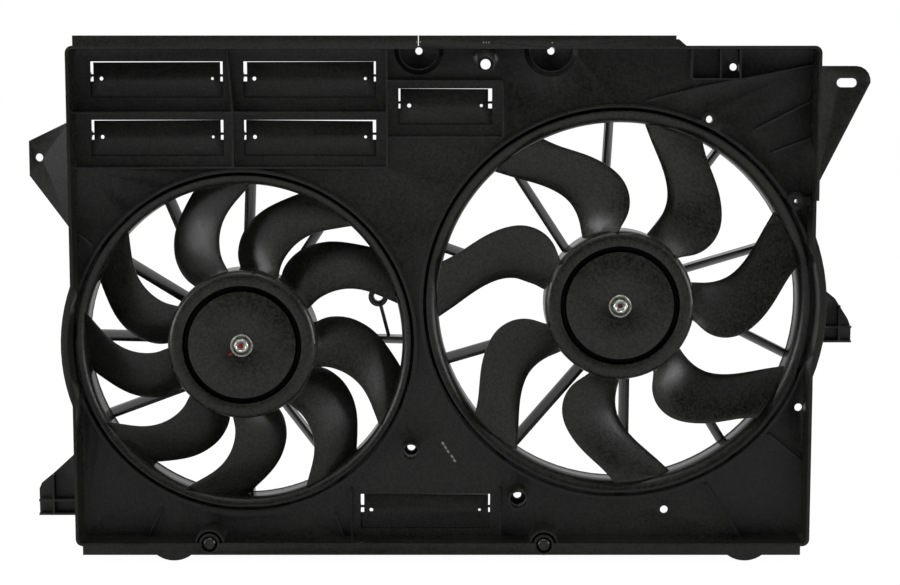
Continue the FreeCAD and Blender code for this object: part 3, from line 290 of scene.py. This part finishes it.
def washer_metal(name):
    """Zinc plate, with painted shade darkening the washer's dish inside its rim."""
    material, tree, shader = new_material(name)
    where = place(tree)
    # Painted shade: the washer's dish is darkened by distance from the axis
    dish_shades = [band(tree, distance_from(tree, where, tuple(FAN_AXIS[side])), *DISH_SHADE_RADII) for side in SIDES]
    dish = maths(tree, "ADD", *dish_shades)
    fine = noise(tree, where, 700.0, 3.0)
    bright = mixed(tree, spread(tree, fine, 0.0, 1.0), (0.62, 0.64, 0.58), (0.86, 0.86, 0.82))
    # The dish's dark colour is painted shade
    tree.links.new(mixed(tree, dish, bright, (0.17, 0.19, 0.15)), shader.inputs["Base Color"])
    tree.links.new(spread(tree, fine, 0.24, 0.38), shader.inputs["Roughness"])
    shader.inputs["Metallic"].default_value = 1.0
    tree.links.new(bumped(tree, fine, 0.12, 0.0002), shader.inputs["Normal"])
    return material


def wound_copper(name):
    """Enamelled copper wire: fine turns as a wave bump."""
    material, tree, shader = new_material(name)
    where = place(tree)
    wave = tree.nodes.new("ShaderNodeTexWave")
    wave.inputs["Scale"].default_value = 260.0
    wave.inputs["Distortion"].default_value = 1.0
    tree.links.new(where, wave.inputs["Vector"])
    tree.links.new(mixed(tree, wave.outputs["Fac"], (0.30, 0.09, 0.03), (0.62, 0.24, 0.09)),
                   shader.inputs["Base Color"])
    shader.inputs["Metallic"].default_value = 0.9
    tree.links.new(spread(tree, noise(tree, where, 300.0), 0.3, 0.45), shader.inputs["Roughness"])
    tree.links.new(bumped(tree, wave.outputs["Fac"], 0.4, 0.0003), shader.inputs["Normal"])
    return material


def paint(name, colour, rough):
    """A daub of paint or ink with a slightly uneven coat."""
    material, tree, shader = new_material(name)
    where = place(tree)
    coat = noise(tree, where, 900.0, 3.0)
    darker = tuple(c * 0.6 for c in colour)
    tree.links.new(mixed(tree, spread(tree, coat, 0.0, 1.0), darker, colour), shader.inputs["Base Color"])
    tree.links.new(spread(tree, coat, rough - 0.08, rough + 0.08), shader.inputs["Roughness"])
    tree.links.new(bumped(tree, coat, 0.15, 0.0002), shader.inputs["Normal"])
    return material


def make_materials():
    """One material for every slot of the record."""
    return {
        "shroud_plastic": moulded_plastic("shroud_plastic", PANEL_BLACK, PANEL_GREY, 0.38, 0.50),
        "flap_plastic": moulded_plastic("flap_plastic", PANEL_BLACK, PANEL_GREY, 0.36, 0.48),
        "pin_plastic": moulded_plastic("pin_plastic", BLACK, GREY, 0.22, 0.32, 0.05),
        "connector_plastic": moulded_plastic("connector_plastic", BLACK, GREY, 0.40, 0.50),
        "card_plastic": moulded_plastic("card_plastic", (0.10, 0.06, 0.03), (0.16, 0.10, 0.05), 0.45, 0.6),
        "brush_carbon": moulded_plastic("brush_carbon", (0.02, 0.02, 0.02), (0.05, 0.05, 0.05), 0.4, 0.6),
        "insert_steel": plain_metal("insert_steel", (0.36, 0.36, 0.37), (0.52, 0.52, 0.53), 0.25, 0.4),
        "zinc_steel": washer_metal("zinc_steel"),
        "shaft_steel": plain_metal("shaft_steel", (0.45, 0.45, 0.45), (0.6, 0.6, 0.6), 0.2, 0.32),
        "can_steel": plain_metal("can_steel", (0.02, 0.02, 0.021), (0.045, 0.045, 0.047), 0.35, 0.5),
        "cover_metal": plain_metal("cover_metal", (0.30, 0.30, 0.31), (0.46, 0.46, 0.47), 0.32, 0.46),
        "core_steel": plain_metal("core_steel", (0.18, 0.18, 0.19), (0.28, 0.28, 0.29), 0.35, 0.5),
        "winding_copper": wound_copper("winding_copper"),
        "commutator_copper": plain_metal("commutator_copper", (0.55, 0.26, 0.12), (0.72, 0.38, 0.2),
                                         0.25, 0.4),
        "magnet_ferrite": moulded_plastic("magnet_ferrite", (0.03, 0.03, 0.033), (0.06, 0.06, 0.065),
                                          0.5, 0.7),
        "bearing_steel": plain_metal("bearing_steel", (0.48, 0.48, 0.49), (0.62, 0.62, 0.63), 0.18, 0.3),
    }


def make_fan_materials():
    """The fans' plastic, with its flow lines and the painted shade in its hub's groove centred on each fan."""
    return {side: moulded_plastic(side + "_fan_plastic", BLACK, GREY, 0.29, 0.41, 0.09, 0.18,
                                  tuple(FAN_AXIS[side])) for side in SIDES}


def make_mount_material():
    """The motor mounts' smoother plastic."""
    return moulded_plastic("mount_plastic", BLACK, GREY, 0.20, 0.28, 0.05, 0.1)


def dress(obj, material):
    """Gives an object one material."""
    obj.data.materials.clear()
    obj.data.materials.append(material)


def soften_edges(obj, width, segments=2, angle=30.0):
    """Welds the tessellated CAD faces and rounds their edges, as moulding does."""
    weld = obj.modifiers.new("weld", "WELD")
    weld.merge_threshold = 0.00001
    bevel = obj.modifiers.new("rounding", "BEVEL")
    bevel.width = width
    bevel.segments = segments
    bevel.limit_method = "ANGLE"
    bevel.angle_limit = math.radians(angle)
    bevel.use_clamp_overlap = True
    bevel.harden_normals = True
    for polygon in obj.data.polygons:
        polygon.use_smooth = True


def add_piece(name, shapes, body, material):
    """Makes one visible piece from a mesh under construction."""
    bmesh.ops.recalc_face_normals(shapes, faces=shapes.faces)
    mesh = bpy.data.meshes.new(name)
    shapes.to_mesh(mesh)
    shapes.free()
    piece = bpy.data.objects.new(name, mesh)
    bpy.context.scene.collection.objects.link(piece)
    dress(piece, material)
    for polygon in mesh.polygons:
        polygon.use_smooth = True
    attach(piece, body)
    return piece


def add_daub(shapes, centre, length, width, tilt, height, power=2.0, wobble=0.12):
    """A thin closed blob with an uneven edge, on a face that looks towards the radiator."""
    count = 20
    turn = math.radians(tilt)
    seed = centre.x * 900.0 + centre.z * 700.0

    def ring(share, rise):
        verts = []
        for i in range(count):
            a = 2 * math.pi * i / count
            c = math.cos(a)
            s = math.sin(a)
            r = (abs(c) ** power + abs(s) ** power) ** (-1.0 / power)
            r *= share * (1 + wobble * (math.sin(3 * a + seed) + math.sin(5 * a + 2 * seed)) / 2)
            x = length / 2 * r * c
            z = width / 2 * r * s
            across = x * math.cos(turn) + z * math.sin(turn)
            up = z * math.cos(turn) - x * math.sin(turn)
            verts.append(shapes.verts.new(centre + Vector((across, rise, up))))
        return verts

    base = ring(1.0, 0.05 * MM)
    edge = ring(1.0, -0.3 * height)
    top = ring(0.72, -height)
    for low, high in ((base, edge), (edge, top)):
        for i in range(count):
            j = (i + 1) % count
            shapes.faces.new((low[i], low[j], high[j], high[i]))
    shapes.faces.new(top)
    shapes.faces.new(list(reversed(base)))


def add_bead(shapes, points, thick):
    """A round bead along a path on a face that looks towards the radiator."""
    sides = 6
    count = len(points)
    rings = []
    for i, point in enumerate(points):
        along = (points[min(i + 1, count - 1)] - points[max(i - 1, 0)]).normalized()
        across = along.cross(Vector((0, 1, 0)))
        ring = []
        for k in range(sides):
            a = 2 * math.pi * k / sides
            ring.append(shapes.verts.new(point + across * (math.cos(a) * thick / 2)
                                         + Vector((0, math.sin(a) * thick / 2, 0))))
        rings.append(ring)
    for first, second in zip(rings, rings[1:]):
        for k in range(sides):
            m = (k + 1) % sides
            shapes.faces.new((first[k], first[m], second[m], second[k]))
    shapes.faces.new(rings[0])
    shapes.faces.new(list(reversed(rings[-1])))


def arc(centre, radius, start, end, steps):
    """Points on an arc in the plane of the panel, in degrees from +X towards +Z."""
    turns = [math.radians(start + (end - start) * i / steps) for i in range(steps + 1)]
    return [centre + Vector((radius * math.cos(a), 0, radius * math.sin(a))) for a in turns]


def hub_marks(material):
    """The small embossed mould marks round the left hub's rim, and one on the right hub's face."""
    shapes = bmesh.new()
    face = Vector((FAN_AXIS["left"].x, HUB_Y["left"], FAN_AXIS["left"].z))
    for turn in HUB_MARK_TURNS:
        centre = arc(face, HUB_MARK_RADIUS, turn, turn, 1)[0]
        add_bead(shapes, arc(centre, HUB_MARK_CURVE, turn + 60, turn + 300, 10), HUB_MARK_THICK)
    add_piece("left_hub_marks", shapes, "left_fan", material["left"])
    shapes = bmesh.new()
    centre = at_pixel(RIGHT_MARK_PIXEL, HUB_Y["right"])
    add_bead(shapes, arc(centre, RIGHT_MARK_CURVE, 0, 340, 16), RIGHT_MARK_THICK)
    add_piece("right_hub_mark", shapes, "right_fan", material["right"])


def paint_marks():
    """The assembly line's dabs of red paint on the shaft ends and hubs, and a dark disc of painted shade in the
    right shaft end's socket.
    """
    red = paint("red_paint", (0.42, 0.012, 0.014), 0.3)
    rust = paint("dull_red_paint", (0.13, 0.02, 0.016), 0.5)
    # Painted shade: a dark disc standing in for the shade inside the right shaft end's socket
    dark = paint("shaft_socket_painted_shade", (0.012, 0.010, 0.009), 0.5)
    ends = {side: Vector((FAN_AXIS[side].x, SHAFT_Y[side], FAN_AXIS[side].z)) for side in SIDES}
    shapes = bmesh.new()
    add_daub(shapes, ends["left"] + Vector((-0.3 * MM, 0, -0.4 * MM)), 5.4 * MM, 5.0 * MM, 20.0, 0.25 * MM)
    smear = at_pixel(SMEAR_PIXEL["left"], HUB_Y["left"])
    add_daub(shapes, smear, 3.6 * MM, 2.2 * MM, -40.0, 0.08 * MM, wobble=0.5)
    add_piece("left_paint_dab", shapes, "left_fan", red)
    shapes = bmesh.new()
    add_daub(shapes, ends["right"] + Vector((-1.5 * MM, 0, 0.3 * MM)), 2.6 * MM, 4.2 * MM, 15.0, 0.15 * MM)
    smear = at_pixel(SMEAR_PIXEL["right"], HUB_Y["right"])
    add_daub(shapes, smear, 4.6 * MM, 1.8 * MM, 30.0, 0.06 * MM, wobble=0.5)
    add_piece("right_paint_dab", shapes, "right_fan", rust)
    # The dark disc of painted shade over the right shaft end's socket
    shapes = bmesh.new()
    add_daub(shapes, ends["right"] + Vector((0.4 * MM, 0, 0)), 3.4 * MM, 3.4 * MM, 0.0, 0.1 * MM,
             wobble=0.05)
    add_piece("right_shaft_socket_shade", shapes, "right_fan", dark)


def panel_marks():
    """Plain dashes where the panel is stamped, and ticks along the top wall."""
    ink = paint("grey_ink", (0.42, 0.42, 0.40), 0.6)
    shapes = bmesh.new()
    for pixel in STAMP_PIXELS:
        add_daub(shapes, at_pixel(pixel, PANEL_Y), 3.8 * MM, 2.1 * MM, STAMP_TILT, INK_THICK,
                 power=4.0, wobble=0.15)
    for pixel in TICK_PIXELS:
        add_daub(shapes, at_pixel(pixel, RIM_Y), 1.0 * MM, 1.5 * MM, 0.0, INK_THICK, power=3.0, wobble=0.1)
    add_piece("panel_dashes", shapes, "shroud", ink)


def scuffs():
    """Small rubbed patches on three of the flaps."""
    worn = paint("rubbed_plastic", (0.055, 0.055, 0.052), 0.55)
    for flap, pixels in SCUFF_PIXELS.items():
        shapes = bmesh.new()
        for pixel in pixels:
            add_daub(shapes, at_pixel(pixel, FLAP_Y), 7.0 * MM, 1.6 * MM, 4.0, SCUFF_THICK, wobble=0.5)
        add_piece(flap + "_scuff", shapes, flap, worn)


def make_world():
    """White to the camera and behind the object, dim in front of it, brighter overhead."""
    world = bpy.data.worlds.new("studio")
    bpy.context.scene.world = world
    world.use_nodes = True
    tree = world.node_tree
    tree.nodes.clear()
    output = tree.nodes.new("ShaderNodeOutputWorld")
    back = tree.nodes.new("ShaderNodeBackground")
    tree.links.new(back.outputs[0], output.inputs[0])
    direction = tree.nodes.new("ShaderNodeTexCoord").outputs["Generated"]
    parts = tree.nodes.new("ShaderNodeSeparateXYZ")
    tree.links.new(direction, parts.inputs[0])
    behind = spread(tree, parts.outputs["Y"], 0.0, 1.0, -0.05, 0.35)
    above = spread(tree, parts.outputs["Z"], 0.0, WORLD_ABOVE, 0.35, 0.95)
    path = tree.nodes.new("ShaderNodeLightPath")
    share = maths(tree, "ADD", maths(tree, "MULTIPLY", path.outputs["Is Glossy Ray"], 0.65), 0.35)
    behind = maths(tree, "MULTIPLY", maths(tree, "MULTIPLY", behind, share), WORLD_BEHIND)
    around = maths(tree, "ADD", maths(tree, "ADD", behind, above), WORLD_AROUND)
    seen = maths(tree, "MAXIMUM", path.outputs["Is Camera Ray"], path.outputs["Is Transmission Ray"])
    strength = maths(tree, "MINIMUM", maths(tree, "MAXIMUM", around, seen), 1.0)
    tree.links.new(strength, back.inputs["Strength"])
    back.inputs["Color"].default_value = (1.0, 1.0, 1.0, 1.0)


def area_light(name, place_at, size, power):
    """A soft rectangular lamp aimed at the object's middle."""
    data = bpy.data.lights.new(name, "AREA")
    data.shape = "RECTANGLE"
    data.size, data.size_y = size
    data.energy = power
    lamp = bpy.data.objects.new(name, data)
    lamp.location = place_at
    lamp.rotation_euler = (Vector(MIDDLE) - Vector(place_at)).to_track_quat("-Z", "Y").to_euler()
    bpy.context.scene.collection.objects.link(lamp)


def make_lights():
    """Two far softboxes at the sides, and soft light from above."""
    for name, (place_at, size, power) in LAMPS.items():
        area_light(name, place_at, size, power)


def make_floor():
    """A plain pale floor under the feet that still takes a soft shadow."""
    mesh = bpy.data.meshes.new("floor")
    corners = [(x * FLOOR_REACH, y * FLOOR_REACH, 0) for x, y in ((-1, -1), (1, -1), (1, 1), (-1, 1))]
    mesh.from_pydata(corners, [], [(0, 1, 2, 3)])
    floor = bpy.data.objects.new("floor", mesh)
    floor.location.z = -FLOOR_SINK
    bpy.context.scene.collection.objects.link(floor)
    material = bpy.data.materials.new("pale_floor")
    material.use_nodes = True
    tree = material.node_tree
    tree.nodes.clear()
    output = tree.nodes.new("ShaderNodeOutputMaterial")
    diffuse = tree.nodes.new("ShaderNodeBsdfDiffuse")
    diffuse.inputs["Color"].default_value = (0.8, 0.8, 0.8, 1.0)
    glow = tree.nodes.new("ShaderNodeEmission")
    glow.inputs["Strength"].default_value = 1.1
    mix = tree.nodes.new("ShaderNodeMixShader")
    path = tree.nodes.new("ShaderNodeLightPath")
    share = maths(tree, "MULTIPLY", path.outputs["Is Camera Ray"], 0.88)
    tree.links.new(share, mix.inputs[0])
    tree.links.new(diffuse.outputs[0], mix.inputs[1])
    tree.links.new(glow.outputs[0], mix.inputs[2])
    tree.links.new(mix.outputs[0], output.inputs[0])
    dress(floor, material)


def make_camera():
    """The photograph's camera."""
    data = bpy.data.cameras.new("camera")
    data.lens = LENS
    data.sensor_width = SENSOR
    data.sensor_fit = "HORIZONTAL"
    data.clip_end = 100.0
    camera = bpy.data.objects.new("camera", data)
    camera.location = CAMERA_PLACE
    camera.rotation_euler = (math.pi / 2 - CAMERA_PITCH, 0.0, 0.0)
    bpy.context.scene.collection.objects.link(camera)
    bpy.context.scene.camera = camera


bpy.context.scene.view_settings.view_transform = "Standard"
materials = make_materials()
fan_materials = make_fan_materials()
mount_material = make_mount_material()
slot_of = {part["node"]: part["material_slot"] for part in frame["record"]["subparts"]}
for name, obj in frame["nodes"].items():
    if slot_of[name] == "fan_plastic":
        dress(obj, fan_materials[name.split("_")[0]])
    elif name.endswith("_motor_mount"):
        dress(obj, mount_material)
    else:
        dress(obj, materials[slot_of[name]])
    large = name == "fan_shroud" or name.endswith("_fan_rotor")
    soften_edges(obj, MOULDED_EDGE if large else FINE_EDGE)

hub_marks(fan_materials)
paint_marks()
panel_marks()
scuffs()
make_world()
make_lights()
make_floor()
make_camera()
